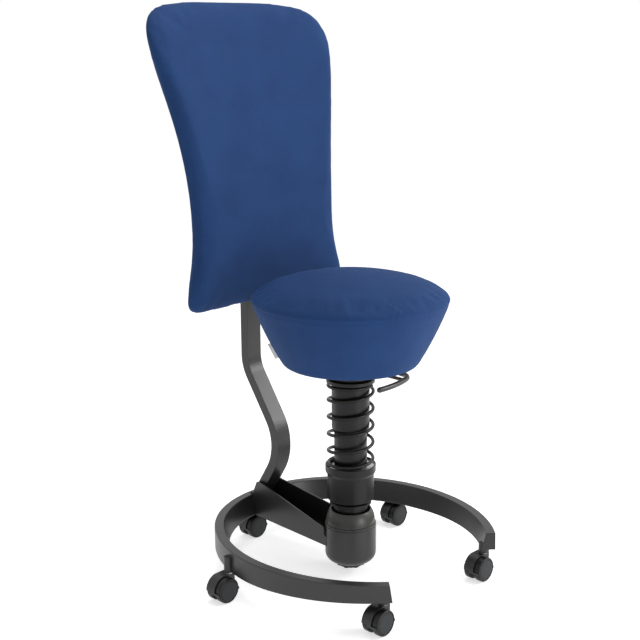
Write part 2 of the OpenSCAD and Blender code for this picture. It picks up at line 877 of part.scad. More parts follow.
// Seat
module seat_hub() {
    color(black)
        difference() {
            rotate_extrude($fn = 72)
                polygon(rounded([[0, hub_z0], [hub_r, hub_z0], [hub_r, seat_z0], [0, seat_z0]],
                    [0, 3, 1, 0], 3));
            translate([0, 0, hub_z0 - over])
                cylinder(r = piston_r + fit, h = slot_z1 - hub_z0 + over, $fn = 48);
            rotate([0, 0, stem_dir])
                translate([0, -slot_w / 2, slot_z0])
                    cube([2 * hub_r, slot_w, slot_z1 - slot_z0]);
            at_lever_pivot()
                cylinder(r = lever_pin_r + fit, h = lever_pin_h + 2, center = true, $fn = 24);
            at_seat_screws() {
                translate([0, 0, hub_z0 - over])
                    cylinder(r = screw_head_r + 0.5, h = seat_z0 - screw_grip - hub_z0 + over, $fn = 24);
                translate([0, 0, hub_z0])
                    cylinder(r = screw_r + fit, h = hub_h + over, $fn = 24);
            }
        }
}

// Places the children on the lever's hinge axis, their Z along it
module at_lever_pivot() {
    rotate([0, 0, stem_dir])
        translate([lever_pivot, 0, rod_z])
            rotate([90, 0, 0])
                children();
}

module lever_pin() {
    color(steel)
        at_lever_pivot()
            cylinder(r = lever_pin_r, h = lever_pin_h, center = true, $fn = 24);
}

module lift_lever() {
    rod_r = rod_d / 2;
    handle_c = [lever_reach - handle_r, 0];
    hook_c = on_ray(handle_c, handle_r - hook_r, hook_from);
    handle_z = rod_z - handle_drop;
    stem_run = lever_reach - block_out + 2;
    color(powder)
        difference() {
            rotate([0, 0, stem_dir])
                union() {
                    translate([-block_in, -block_w / 2, block_z0])
                        cube([block_in + block_out, block_w, block_h]);
                    translate([block_out - 2, 0, rod_z])
                        rotate([0, 90 + atan(handle_drop / stem_run), 0])
                            cylinder(r = lever_stem_r, h = norm([stem_run, handle_drop]), $fn = 24);
                    rod_arc([handle_c.x, handle_c.y, handle_z], handle_r, rod_r, handle_from, hook_from);
                    rod_arc([hook_c.x, hook_c.y, handle_z], hook_r, rod_r - 0.15, hook_from - 1, hook_to);
                    for (end = [on_ray(handle_c, handle_r, handle_from), on_ray(hook_c, hook_r, hook_to)])
                        translate([end.x, end.y, handle_z])
                            sphere(r = rod_r - 0.4, $fn = 20);
                }
            at_lever_pivot()
                cylinder(r = lever_pin_r + fit, h = lever_pin_h + 2, center = true, $fn = 24);
        }
}

// A piece of round rod of radius rod_r, bent about c
module rod_arc(c, r, rod_r, from, to) {
    translate(c)
        rotate([0, 0, from])
            rotate_extrude(angle = to - from, $fn = 96)
                translate([r, 0])
                    circle(r = rod_r, $fn = 20);
}

module at_seat_screws() {
    for (i = [0:3])
        rotate([0, 0, stem_dir + 45 + 90 * i])
            translate([screw_ring, 0, 0])
                children();
}

module seat_pan() {
    color(black)
        difference() {
            tube(pan_r, 0, seat_z0, seat_z0 + pan_t, 72);
            at_seat_screws()
                translate([0, 0, seat_z0 - over])
                    cylinder(r = screw_r + fit, h = screw_grip + over, $fn = 24);
        }
}

module seat_screws() {
    color(steel)
        at_seat_screws() {
            tube(screw_head_r, 0, seat_z0 - screw_grip - screw_head_h, seat_z0 - screw_grip, 24);
            tube(screw_r, 0, seat_z0 - screw_grip - fit, seat_z0 + screw_grip - over, 24);
        }
}

module seat_form() {
    rim_c = [seat_r - rim_round, seat_seam_z + rim_lift];
    rim = arc(rim_c, rim_round, rim_from, crown_a, 8);
    edge = rim[8];
    top = seat_seam_z + seat_crown;
    crown_r = (edge.x * edge.x + pow(top - edge.y, 2)) / (2 * (top - edge.y));
    crown = arc([0, top - crown_r], crown_r, acos(edge.x / crown_r), 90, 12);
    foot_z = seat_z0 - foot_drop;
    belly = bulged([seat_foot_r, foot_z], rim[0], flank_belly, 8);
    foot = corner([pan_r + skin, foot_z], belly[0], belly[1], seat_foot_round, 4);
    polygon(concat(
        [[0, seat_z0 + pan_t], [pan_r + skin, seat_z0 + pan_t], [pan_r + skin, foot_z]],
        foot, [for (i = [2:7]) belly[i]], rim, [for (i = [1:12]) crown[i]]));
}

module seat_cushion() {
    color(blue)
        rotate_extrude($fn = 96)
            seat_form();
}

// Small label in the flank's seam, on the left
module seat_tag() {
    color("white")
        difference() {
            rotate([90, 0, 132])
                linear_extrude(tag_t, center = true)
                    polygon([[seat_foot_r + 5, seat_z0 + 9], [seat_foot_r + 17.5, seat_z0 + 4],
                        [seat_foot_r + 32.5, seat_z0 + 35.5], [seat_foot_r + 20, seat_z0 + 40.5]]);
            seat_cushion();
        }
}

foot_ring();
channel_beam();
hub_cup();
back_post();
post_foot();
caster_stems();
back_plate();
back_screws();
back_shell();
back_cushion();
rubber_buffer();
tilt_screw();
tilt_knob();
ball_stud();
column_foot();
lower_tube();
guide_bush();
adjuster_cup();
spring_seat();
upper_tube();
spring_flange();
gas_cylinder();
gas_guide();
coil_spring();
piston_tube();
release_pin();
seat_hub();
lever_pin();
lift_lever();
seat_pan();
seat_screws();
seat_cushion();
seat_tag();
at_stem(0) caster_hood();  // caster_hood_1
at_stem(1) caster_hood();  // caster_hood_2
at_stem(2) caster_hood();  // caster_hood_3
at_stem(3) caster_hood();  // caster_hood_4
at_stem(4) caster_hood();  // caster_hood_5
at_stem(0) caster_axle();  // caster_axle_1
at_stem(1) caster_axle();  // caster_axle_2
at_stem(2) caster_axle();  // caster_axle_3
at_stem(3) caster_axle();  // caster_axle_4
at_stem(4) caster_axle();  // caster_axle_5
at_stem(0) wheel(1);  // wheel_1_l
at_stem(1) wheel(1);  // wheel_2_l
at_stem(2) wheel(1);  // wheel_3_l
at_stem(3) wheel(1);  // wheel_4_l
at_stem(4) wheel(1);  // wheel_5_l
at_stem(0) wheel(-1);  // wheel_1_r
at_stem(1) wheel(-1);  // wheel_2_r
at_stem(2) wheel(-1);  // wheel_3_r
at_stem(3) wheel(-1);  // wheel_4_r
at_stem(4) wheel(-1);  // wheel_5_r
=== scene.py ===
# %% [markdown]
# # Balance stool with backrest, dressed for the camera
# The object is a round padded seat on a sprung column, rocking in an open foot ring on
# casters, with a tall padded backrest on a bent bar. Its rigid parts arrive as an exact model,
# which stays as it is. This lesson gives each of them a finish, and sews the soft parts, winds
# the spring and folds the label as new pieces around that frame.

import json
import math

import bmesh
import bpy
import numpy as np
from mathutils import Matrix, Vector


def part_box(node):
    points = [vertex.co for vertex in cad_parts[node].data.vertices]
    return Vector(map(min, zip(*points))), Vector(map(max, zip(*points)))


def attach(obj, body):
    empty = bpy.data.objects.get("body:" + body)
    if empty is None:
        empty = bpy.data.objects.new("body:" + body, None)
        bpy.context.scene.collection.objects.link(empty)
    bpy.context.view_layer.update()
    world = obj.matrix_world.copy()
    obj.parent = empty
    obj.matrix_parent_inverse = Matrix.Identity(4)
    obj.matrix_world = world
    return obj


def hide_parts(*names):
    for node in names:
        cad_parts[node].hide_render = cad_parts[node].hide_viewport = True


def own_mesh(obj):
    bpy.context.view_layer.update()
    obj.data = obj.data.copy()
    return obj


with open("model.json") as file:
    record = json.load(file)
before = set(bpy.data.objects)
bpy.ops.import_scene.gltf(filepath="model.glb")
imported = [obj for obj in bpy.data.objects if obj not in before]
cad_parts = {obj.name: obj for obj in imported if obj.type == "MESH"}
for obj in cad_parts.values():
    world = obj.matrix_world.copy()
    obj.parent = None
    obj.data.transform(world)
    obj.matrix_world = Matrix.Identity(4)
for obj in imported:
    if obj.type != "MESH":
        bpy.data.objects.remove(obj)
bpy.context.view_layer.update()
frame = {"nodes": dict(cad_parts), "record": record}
nodes = frame["nodes"]

MM = 0.001

# %% [markdown]
# ## The camera
# The photograph is square, 640 pixels a side. The camera stands in front of the stool and to
# its left, a little above the seat, and looks slightly down. A long lens keeps the legs of the
# ring nearly parallel. The picture was cropped off centre, so the lens is shifted a little.

# %% Camera
PICTURE = 640
FOCAL_PX = 1229.6
AXIS_PX = (350.6, 324.6)
SENSOR = 36.0

camera_data = bpy.data.cameras.new("camera")
camera_data.sensor_width = SENSOR
camera_data.lens = FOCAL_PX / PICTURE * SENSOR
camera_data.shift_x = (PICTURE / 2 - AXIS_PX[0]) / PICTURE
camera_data.shift_y = (AXIS_PX[1] - PICTURE / 2) / PICTURE
camera = bpy.data.objects.new("camera", camera_data)
bpy.context.scene.collection.objects.link(camera)
CAMERA_TURN = math.radians(47.768)
CAMERA_DIP = math.radians(13.639)
CAMERA_AWAY = 2.3902
CAMERA_HEIGHT = 1.1079
camera.location = (-CAMERA_AWAY * math.sin(CAMERA_TURN), -CAMERA_AWAY * math.cos(CAMERA_TURN), CAMERA_HEIGHT)
camera.rotation_euler = (math.pi / 2 - CAMERA_DIP, 0, -CAMERA_TURN)
bpy.context.scene.camera = camera
bpy.context.scene.view_settings.view_transform = "Standard"
print("camera: lens", round(camera_data.lens, 1), "mm at", [round(c, 3) for c in camera.location])

# %% [markdown]
# ## Small helpers
# Node trees are long, so one function adds a node: its kind, its settings, and its inputs,
# each of which is a value or a socket to link. Colours are written as the hex values that a
# screen shows, and one function turns them into the linear light that the renderer adds up.

# %% Node and colour helpers
def linear(hex_code):
    """The linear RGBA of an sRGB hex colour."""
    channels = [int(hex_code[i:i + 2], 16) / 255 for i in (1, 3, 5)]
    return tuple(c / 12.92 if c <= 0.04045 else ((c + 0.055) / 1.055) ** 2.4 for c in channels) + (1.0,)


def put(tree, kind, inputs=None, **settings):
    """Adds a node to the tree, with its settings, its values and its links."""
    made = tree.nodes.new(kind)
    for key, value in settings.items():
        setattr(made, key, value)
    for key, value in (inputs or {}).items():
        if isinstance(value, bpy.types.NodeSocket):
            tree.links.new(value, made.inputs[key])
        else:
            made.inputs[key].default_value = value
    return made


def new_material(name, **values):
    """A material with one Principled shader, whose sockets take the values. Returns both and its tree."""
    material = bpy.data.materials.new(name)
    material.use_nodes = True
    tree = material.node_tree
    tree.nodes.clear()
    shader = put(tree, "ShaderNodeBsdfPrincipled", {k.replace("_", " "): v for k, v in values.items()})
    put(tree, "ShaderNodeOutputMaterial", {"Surface": shader.outputs[0]})
    return material, tree, shader


def grain(tree, place, size, detail=3.0, roughness=0.5):
    """Noise whose lumps are about size metres across, as a socket from 0 to 1."""
    return put(tree, "ShaderNodeTexNoise", {
        "Vector": place, "Scale": 1 / size, "Detail": detail, "Roughness": roughness}).outputs[0]


def two_tones(tree, amount, dark, light):
    """A colour between two hex values, by amount."""
    mixed = put(tree, "ShaderNodeMix", {0: amount, 6: linear(dark), 7: linear(light)}, data_type="RGBA")
    return mixed.outputs[2]


def span(tree, amount, low, high):
    """Amount from 0 to 1, spread from low to high."""
    return put(tree, "ShaderNodeMapRange", {"Value": amount, "To Min": low, "To Max": high}).outputs[0]


def bumps(tree, height, depth, strength=1.0, under=None):
    """A normal raised by height times depth metres, over another normal if one is given."""
    inputs = {"Height": height, "Distance": depth, "Strength": strength}
    if under is not None:
        inputs["Normal"] = under
    return put(tree, "ShaderNodeBump", inputs).outputs[0]

# %% [markdown]
# ## Finishes of the metal parts
# The ring, the beam, the cup and the bar are steel with a satin powder coat. The powder melts
# into a skin with a very fine orange peel, which breaks up each highlight. It is thick enough to
# round the edges, and a bevel node lets the shading turn there. The column is black
# stove enamel, smoother and darker. Both are paint, so they aren't metallic: the gloss comes
# from the clear resin on top. The screws, pins and axles are zinc plated, and the piston is
# hard chromed, so those are metallic.

# %% Metal finishes
def coated_steel(name, dark, light, roughness, peel, ior, edge):
    """Paint on steel: faint clouds in its colour, an orange peel, fine dust, and soft edges."""
    material, tree, shader = new_material(name, IOR=ior)
    place = put(tree, "ShaderNodeTexCoord").outputs["Object"]
    clouds = grain(tree, place, 0.05, 2.0)
    speck = grain(tree, place, 0.0011, 2.0, 0.6)
    tree.links.new(two_tones(tree, clouds, dark, light), shader.inputs["Base Color"])
    tree.links.new(span(tree, speck, roughness - 0.07, roughness + 0.07), shader.inputs["Roughness"])
    soft = put(tree, "ShaderNodeBevel", {"Radius": edge}, samples=4).outputs[0]
    skin = bumps(tree, grain(tree, place, 0.0034, 2.0), peel, under=soft)
    tree.links.new(bumps(tree, speck, peel * 0.35, under=skin), shader.inputs["Normal"])
    return material


# Satin polyester powder, charcoal: soft wide highlights on the edges
powder_coat = coated_steel("satin_powder_coat", "#1b1b1b", "#1f1f1f", 0.36, 0.00005, 1.5, 0.0009)
# Stove enamel, black: tighter highlights down the tubes
black_enamel = coated_steel("black_stove_enamel", "#060606", "#090909", 0.32, 0.00003, 1.36, 0.0006)


def plated_metal(name, colour, roughness, scratch):
    """Bare or plated metal, with fine turning marks."""
    material, tree, shader = new_material(name, Metallic=1.0)
    place = put(tree, "ShaderNodeTexCoord").outputs["Object"]
    drawn = put(tree, "ShaderNodeMapping", {"Vector": place, "Scale": (1.0, 1.0, 12.0)}).outputs[0]
    marks = grain(tree, drawn, 0.004, 3.0)
    tree.links.new(two_tones(tree, grain(tree, place, 0.02), colour, "#d9dbde"), shader.inputs["Base Color"])
    tree.links.new(span(tree, marks, roughness * 0.7, roughness * 1.3), shader.inputs["Roughness"])
    tree.links.new(bumps(tree, marks, scratch), shader.inputs["Normal"])
    return material


# Zinc plating, blue passivated: a grey, slightly cloudy metal
zinc_plate = plated_metal("zinc_plated_steel", "#a9adb2", 0.34, 0.00002)
# Hard chrome on the gas spring's piston: a mirror with the finest grinding lines
hard_chrome = plated_metal("hard_chrome", "#c9ccd1", 0.10, 0.000004)
print("metal finishes:", powder_coat.name, black_enamel.name, zinc_plate.name, hard_chrome.name)

# %% [markdown]
# ## Rubber, nylon and board
# The rocking joint is a dome of vulcanised rubber: dark, with a slight olive bloom and a soft
# sheen. Casters, knob and shell are glass-filled nylon from a mould with a spark-eroded
# texture. The wheels' side covers are moulded smoother and look a shade lighter, which the
# material tells by the direction a face points in: object normals turn with the wheel. The
# board under the seat is birch plywood.

# %% Rubber, nylon and board
def moulded(name, dark, light, roughness, grit, depth, sheen=0.0, ior=1.49):
    """Rubber or plastic out of a textured mould."""
    material, tree, shader = new_material(name, IOR=ior, Sheen_Weight=sheen, Sheen_Roughness=0.4)
    place = put(tree, "ShaderNodeTexCoord").outputs["Object"]
    fine = grain(tree, place, grit, 3.0, 0.6)
    tree.links.new(two_tones(tree, grain(tree, place, 0.03), dark, light), shader.inputs["Base Color"])
    tree.links.new(span(tree, fine, roughness - 0.06, roughness + 0.08), shader.inputs["Roughness"])
    tree.links.new(bumps(tree, fine, depth), shader.inputs["Normal"])
    return material, tree, shader


# Natural rubber with carbon black
buffer_rubber = moulded("vulcanised_rubber", "#1b1c18", "#26271f", 0.36, 0.0016, 0.00003, 0.10)[0]
# Glass-filled nylon, spark-eroded mould
nylon = moulded("moulded_nylon", "#0e0e0f", "#131314", 0.42, 0.0009, 0.00004)[0]
# The same nylon on the wheels, with smoother and lighter side covers
wheel_nylon, tree, shader = moulded("wheel_nylon", "#090909", "#0c0c0d", 0.36, 0.0009, 0.00003, ior=1.35)
turned_with = put(tree, "ShaderNodeTexCoord").outputs["Normal"]
facing = put(tree, "ShaderNodeSeparateXYZ", {0: turned_with}).outputs[1]
sideways = put(tree, "ShaderNodeMath", {0: facing, 1: facing}, operation="MULTIPLY").outputs[0]
cover = put(tree, "ShaderNodeMapRange", {"Value": sideways, "From Min": 0.85, "From Max": 0.97}).outputs[0]
cover_mix = put(tree, "ShaderNodeMix", {0: cover, 6: shader.inputs["Base Color"].links[0].from_socket,
                                        7: linear("#191c1e")}, data_type="RGBA")
tree.links.new(cover_mix.outputs[2], shader.inputs["Base Color"])

# Birch plywood: rotary-cut faces with long flat grain, and bare veneers at the edge
birch_board, tree, shader = new_material("birch_plywood", IOR=1.5, Roughness=0.55)
place = put(tree, "ShaderNodeTexCoord").outputs["Object"]
along = put(tree, "ShaderNodeMapping", {"Vector": place, "Scale": (8.0, 60.0, 700.0)}).outputs[0]
figure = put(tree, "ShaderNodeTexNoise", {
    "Vector": along, "Scale": 1.0, "Detail": 4.0, "Distortion": 0.6}).outputs[0]
tree.links.new(two_tones(tree, figure, "#a9865a", "#cfae80"), shader.inputs["Base Color"])
tree.links.new(bumps(tree, figure, 0.0001), shader.inputs["Normal"])
print("moulded finishes:", buffer_rubber.name, nylon.name, wheel_nylon.name, birch_board.name)

# %% [markdown]
# ## The upholstery cloth
# Seat and backrest are covered with one plain-woven wool blend. Its threads are about a
# millimetre thick, finer than the picture shows, so they are drawn 1.6 mm apart. The pattern
# follows the cloth, and for that the pieces carry a UV map in metres, called weave. Two sets of
# ribs cross, and a checker says which thread lies on top. Slow clouds of colour and a little
# sheen give the felted look of wool.

# %% Cloth
THREAD = 0.0016


def woven_cloth(name, dark, light, thread):
    material, tree, shader = new_material(
        name, Roughness=0.85, IOR=1.33, Sheen_Weight=0.12, Sheen_Roughness=0.5, Sheen_Tint=linear("#4a6fb0"))
    weave = put(tree, "ShaderNodeUVMap", uv_map="weave").outputs[0]
    place = put(tree, "ShaderNodeTexCoord").outputs["Object"]
    ribs = [put(tree, "ShaderNodeTexWave", {"Vector": weave, "Scale": 0.1 * math.pi / thread, "Distortion": 0.6,
                                            "Detail": 1.0, "Detail Scale": 0.4},
                bands_direction=way, wave_profile="SIN").outputs["Fac"] for way in ("X", "Y")]
    over = put(tree, "ShaderNodeTexChecker", {"Vector": weave, "Scale": 1 / thread}).outputs["Fac"]
    thread_height = put(tree, "ShaderNodeMix", {0: over, 2: ribs[0], 3: ribs[1]}, data_type="FLOAT").outputs[0]
    fuzz = grain(tree, place, 0.0035, 4.0, 0.65)
    clouds = grain(tree, place, 0.07, 3.0, 0.55)
    tone = put(tree, "ShaderNodeMath", {0: fuzz, 1: clouds}, operation="ADD").outputs[0]
    tone = put(tree, "ShaderNodeMapRange", {"Value": tone, "From Min": 0.62, "From Max": 1.38}).outputs[0]
    # painted shade: the cloth's colour is darkened where the top thread lies low, in the gaps between the
    # threads
    shade = put(tree, "ShaderNodeMix", {0: thread_height, 6: linear("#b9b9b9"), 7: linear("#ffffff")},
                data_type="RGBA").outputs[2]
    colour = put(tree, "ShaderNodeMix", {0: 1.0, 6: two_tones(tree, tone, dark, light), 7: shade},
                 data_type="RGBA", blend_type="MULTIPLY").outputs[2]
    tree.links.new(colour, shader.inputs["Base Color"])
    felt = bumps(tree, fuzz, 0.0003, 0.6)
    tree.links.new(bumps(tree, thread_height, 0.0003, 0.7, under=felt), shader.inputs["Normal"])
    return material


wool_cloth = woven_cloth("plain_woven_wool", "#16386c", "#1e467c", THREAD)

# Satin-woven polyester ribbon for the label: white, with fine ribs across, and bare
label_ribbon, tree, shader = new_material("satin_ribbon", Roughness=0.5, IOR=1.45, Sheen_Weight=0.2)
place = put(tree, "ShaderNodeTexCoord").outputs["Object"]
rib = put(tree, "ShaderNodeTexWave", {"Vector": place, "Scale": 0.1 * math.pi / 0.0009},
          bands_direction="Z").outputs["Fac"]
# painted shade: the ribbon is darker in the troughs between its ribs and lighter on their tops
tree.links.new(two_tones(tree, rib, "#d4d4d1", "#efefec"), shader.inputs["Base Color"])
tree.links.new(bumps(tree, rib, 0.0001), shader.inputs["Normal"])
print("cloth:", wool_cloth.name, label_ribbon.name)

# %% [markdown]
# ## Dressing the frame
# Every rigid part of the frame is shown as it is and gets the finish of its slot. The record
# that comes with the model says which slot each part belongs to.

# %% Finishes on the frame's parts
FINISHES = {
    "charcoal_powder_coat": powder_coat, "black_paint": black_enamel, "zinc_steel": zinc_plate,
    "chrome": hard_chrome, "buffer_rubber": buffer_rubber, "black_plastic": nylon,
    "birch_board": birch_board, "blue_fabric": wool_cloth, "white_label": label_ribbon}
for row in frame["record"]["subparts"]:
    node = nodes[row["node"]]
    finish = wheel_nylon if row["node"].startswith("wheel_") else FINISHES[row["material_slot"]]
    node.data.materials.clear()
    node.data.materials.append(finish)

# %% [markdown]
# ## Meshes for the new pieces
# Each new piece sits at the origin with its place in its mesh, as the frame's parts do.

# %% Mesh helpers
def piece_of(name, points, faces, material):
    """A mesh object from points in metres and faces, with its normals turned outwards."""
    mesh = bpy.data.meshes.new(name)
    mesh.from_pydata([tuple(p) for p in points], [], faces)
    work = bmesh.new()
    work.from_mesh(mesh)
    bmesh.ops.remove_doubles(work, verts=work.verts, dist=1e-6)
    bmesh.ops.recalc_face_normals(work, faces=work.faces)
    work.to_mesh(mesh)
    work.free()
    mesh.polygons.foreach_set("use_smooth", [True] * len(mesh.polygons))
    mesh.materials.append(material)
    made = bpy.data.objects.new(name, mesh)
    bpy.context.scene.collection.objects.link(made)
    return made


def skin_of_rings(rings, start=None, end=None):
    """Points and faces of a closed skin over rings of equal length, with a pole at each end."""
    count = len(rings[0])
    points = [p for ring in rings for p in ring]
    around = [(i, (i + 1) % count) for i in range(count)]
    faces = [(row + i, row + j, row + count + j, row + count + i)
             for row in range(0, (len(rings) - 1) * count, count) for i, j in around]
    for pole, row in ((start, 0), (end, (len(rings) - 1) * count)):
        if pole is not None:
            points.append(pole)
            faces += [(len(points) - 1, row + i, row + j) for i, j in around]
    return points, faces


def baked(made):
    """The object with its modifiers turned into plain mesh."""
    graph = bpy.context.evaluated_depsgraph_get()
    graph.update()
    mesh = bpy.data.meshes.new_from_object(made.evaluated_get(graph))
    made.modifiers.clear()
    made.data = mesh
    return made


def coords(mesh):
    """All vertices of a mesh as rows of numbers."""
    flat = np.empty(len(mesh.vertices) * 3)
    mesh.vertices.foreach_get("co", flat)
    return flat.reshape(-1, 3)


def set_coords(mesh, rows):
    mesh.vertices.foreach_set("co", np.ascontiguousarray(rows, dtype=float).ravel())
    mesh.update()


def triangles(made):
    return sum(len(p.vertices) - 2 for p in made.data.polygons)

# %% [markdown]
# ## Padded pieces by cloth simulation
# A real cushion is a cover sewn a little tight over foam: the cloth bellies out between the
# seams and stays flat on the board. That could be modelled by hand, but a simulation finds the
# shape by itself. The start is a slightly smaller body, remeshed into even squares. The points
# at the seams are pinned, air pressure swells the rest, and each point's way is capped, so that
# the pad fills the place that the frame keeps for it.

# %% Puffing a pad
FRAMES = 20
PRESSURE = 4.0


def puff(made, voxel, held, cap):
    """Swells the object by cloth simulation. held(points) is true for the points that stay."""
    remesh = made.modifiers.new("even", "REMESH")
    remesh.mode = "VOXEL"
    remesh.voxel_size = voxel
    baked(made)
    rest = coords(made.data)
    pinned = made.vertex_groups.new(name="pinned")
    pinned.add([int(i) for i in np.nonzero(held(rest))[0]], 1.0, "REPLACE")
    cloth = made.modifiers.new("cover", "CLOTH")
    cloth.settings.use_pressure = True
    cloth.settings.uniform_pressure_force = PRESSURE
    cloth.settings.effector_weights.gravity = 0
    cloth.settings.vertex_group_mass = pinned.name
    cloth.point_cache.frame_start, cloth.point_cache.frame_end = 1, FRAMES
    scene = bpy.context.scene
    for step in range(1, FRAMES + 1):
        scene.frame_set(step)
    graph = bpy.context.evaluated_depsgraph_get()
    swollen = made.evaluated_get(graph).to_mesh()
    way = coords(swollen) - rest
    made.evaluated_get(graph).to_mesh_clear()
    made.modifiers.clear()
    made.vertex_groups.clear()
    scene.frame_set(1)
    length = np.linalg.norm(way, axis=1, keepdims=True)
    way *= np.minimum(1.0, cap / np.maximum(length, 1e-9))
    set_coords(made.data, rest + way)
    print(made.name, "swelled by up to", round(float(min(length.max(), cap)) / MM, 1), "mm")
    return made


def fill_box(made, low, high, axes, surface=None):
    """Stretches the piece along the axes to a box. A surface, a depth by point, keeps it on its curve."""
    rows = coords(made.data)
    least, most = rows.min(axis=0), rows.max(axis=0)
    moved = rows.copy()
    for axis in axes:
        share = (rows[:, axis] - least[axis]) / (most[axis] - least[axis])
        moved[:, axis] = low[axis] + share * (high[axis] - low[axis])
    if surface is not None:
        moved[:, 1] += surface(moved) - surface(rows)
    set_coords(made.data, moved)
    grown = [high[i] - low[i] - float(most[i] - least[i]) for i in axes]
    print(made.name, "stretched by", [round(g, 4) for g in grown], "m")


def finish_pad(made, ironing, furrow, depth, width):
    """Irons creases out, divides once, then sinks the points near a seam, by furrow(points) in metres."""
    iron = made.modifiers.new("iron", "SMOOTH")
    iron.factor, iron.iterations = 0.5, ironing
    smoother = made.modifiers.new("smoother", "SUBSURF")
    smoother.levels = smoother.render_levels = 1
    baked(made)
    flat = np.empty(len(made.data.vertices) * 3)
    made.data.vertices.foreach_get("normal", flat)
    rows = coords(made.data)
    sink = depth * np.exp(-(furrow(rows) / width) ** 2)
    set_coords(made.data, rows - flat.reshape(-1, 3) * sink[:, None])
    made.data.polygons.foreach_set("use_smooth", [True] * len(made.data.polygons))
    return made


def give_weave(made, mapping):
    """The UV map that the cloth's weave follows, in metres along the cloth."""
    mesh = made.data
    layer = mesh.uv_layers.new(name="weave")
    corners = np.empty(len(mesh.loops), dtype=int)
    mesh.loops.foreach_get("vertex_index", corners)
    faces = np.repeat(np.arange(len(mesh.polygons)), [p.loop_total for p in mesh.polygons])
    centres = np.empty(len(mesh.polygons) * 3)
    mesh.polygons.foreach_get("center", centres)
    normals = np.empty(len(mesh.polygons) * 3)
    mesh.polygons.foreach_get("normal", normals)
    uv = mapping(coords(mesh)[corners], centres.reshape(-1, 3)[faces], normals.reshape(-1, 3)[faces])
    layer.data.foreach_set("uv", np.ascontiguousarray(uv, dtype=float).ravel())
    mesh.materials.clear()
    mesh.materials.append(wool_cloth)

# %% [markdown]
# ## The seat
# Seen from the side the seat is a deep cone with a low crown: a round top panel, and a band
# that narrows to the underside. The top panel rolls out over its seam with the band, which runs
# round a little below the rim, and the band bellies out by a few millimetres. The underside is
# flat and closes round the board.

# %% Seat cushion
seat_low, seat_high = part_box("seat_cushion")
board_low, board_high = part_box("seat_pan")
SEAT_RIM = seat_high.x
SEAT_FOOT = 0.135
ROLL_R = 0.014
ROLL = (SEAT_RIM - ROLL_R, board_low.z + 0.134)
ROLL_FROM, ROLL_TO = math.radians(-38), math.radians(70)
SEAM = (ROLL[0] + ROLL_R * math.cos(ROLL_FROM), ROLL[1] + ROLL_R * math.sin(ROLL_FROM))
SEAT_STEPS = 128


def fillet(before, at, after, radius, steps):
    """Points of the rounded corner at a point of an outline."""
    before, at, after = (Vector(p) for p in (before, at, after))
    u, v = (before - at).normalized(), (after - at).normalized()
    half = u.angle(v) / 2
    centre = at + (u + v).normalized() * radius / math.sin(half)
    first, last = at + u * radius / math.tan(half) - centre, at + v * radius / math.tan(half) - centre
    start, sweep = math.atan2(first.y, first.x), math.atan2(first.cross(last), first.dot(last))
    return [(centre.x + radius * math.cos(start + sweep * i / steps),
             centre.y + radius * math.sin(start + sweep * i / steps)) for i in range(steps + 1)]


def seat_profile(tight):
    """Radius and height of the seat's skin, from the underside's middle to the crown's."""
    foot = (SEAT_FOOT - tight, seat_low.z)
    opening = board_high.x + 0.001
    roll_r = ROLL_R - tight
    roll = [(ROLL[0] + roll_r * math.cos(a), ROLL[1] + roll_r * math.sin(a))
            for a in np.linspace(ROLL_FROM, ROLL_TO, 9)]
    along = [t / 8 for t in range(1, 8)]
    flank = [(foot[0] + (roll[0][0] - foot[0]) * t + 0.003 * 4 * t * (1 - t),
              foot[1] + (roll[0][1] - foot[1]) * t - 0.0015 * 4 * t * (1 - t)) for t in along]
    rise = seat_high.z - tight - roll[-1][1]
    bulge = (rise ** 2 + roll[-1][0] ** 2) / (2 * rise)
    sweep = math.asin(roll[-1][0] / bulge)
    crown = [(bulge * math.sin(sweep * i / 24), roll[-1][1] + rise - bulge * (1 - math.cos(sweep * i / 24)))
             for i in range(23, 0, -1)]
    return ([(opening * 0.5, board_high.z), (opening, board_high.z), (opening, seat_low.z)]
            + fillet((opening, seat_low.z), foot, flank[0], 0.013, 5) + flank[1:] + roll + crown)


def turned(profile, steps):
    """The rings of an outline turned round the column's axis."""
    turns = [2 * math.pi * i / steps for i in range(steps)]
    return [[(r * math.cos(t), r * math.sin(t), z) for t in turns] for r, z in profile]


def seat_seam(points):
    """Distance from the seam that runs round under the rim."""
    return np.hypot(np.hypot(points[:, 0], points[:, 1]) - SEAM[0], points[:, 2] - SEAM[1])


def seat_held(points):
    """True for the points at the seam, on the underside and on the board."""
    on_foot = points[:, 2] < seat_low.z + 0.004
    on_board = (points[:, 2] < board_high.z + 0.004) & (np.hypot(points[:, 0], points[:, 1]) < 0.12)
    return (seat_seam(points) < 0.005) | on_foot | on_board


def seat_weave(points, centres, normals):
    """Flat on the top and the underside, wrapped round the band."""
    turn = np.arctan2(centres[:, 1], centres[:, 0])
    local = np.arctan2(points[:, 1], points[:, 0])
    local = turn + (local - turn + math.pi) % (2 * math.pi) - math.pi
    band = np.stack([local * 0.165, points[:, 2] * 1.13], axis=1)
    return np.where((np.abs(normals[:, 2]) > 0.75)[:, None], points[:, :2], band)


profile = seat_profile(0.002)
seat = piece_of("seat_upholstery", *skin_of_rings(
    turned(profile, SEAT_STEPS), start=(0, 0, board_high.z), end=(0, 0, seat_high.z - 0.002)), wool_cloth)
puff(seat, 0.0055, seat_held, 0.004)
fill_box(seat, seat_low, seat_high, (0, 1, 2))
finish_pad(seat, 3, seat_seam, 0.0013, 0.0045)
give_weave(seat, seat_weave)
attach(seat, "seat")
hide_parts("seat_cushion")
print("seat:", triangles(seat), "triangles,", round(2 * SEAT_RIM / MM), "mm wide,",
      round((seat_high.z - seat_low.z) / MM), "mm high")

# %% [markdown]
# ## The backrest
# Seen from the front the backrest is narrow at the waist, wider towards its square foot and
# widest at its round shoulders. In side view it arches gently, foremost a little over the
# waist. The padding is one thick panel whose edges roll back to the shell. Its outline is a
# superellipse, squarer below than above, whose half width grows with the square of the
# distance from the waist.

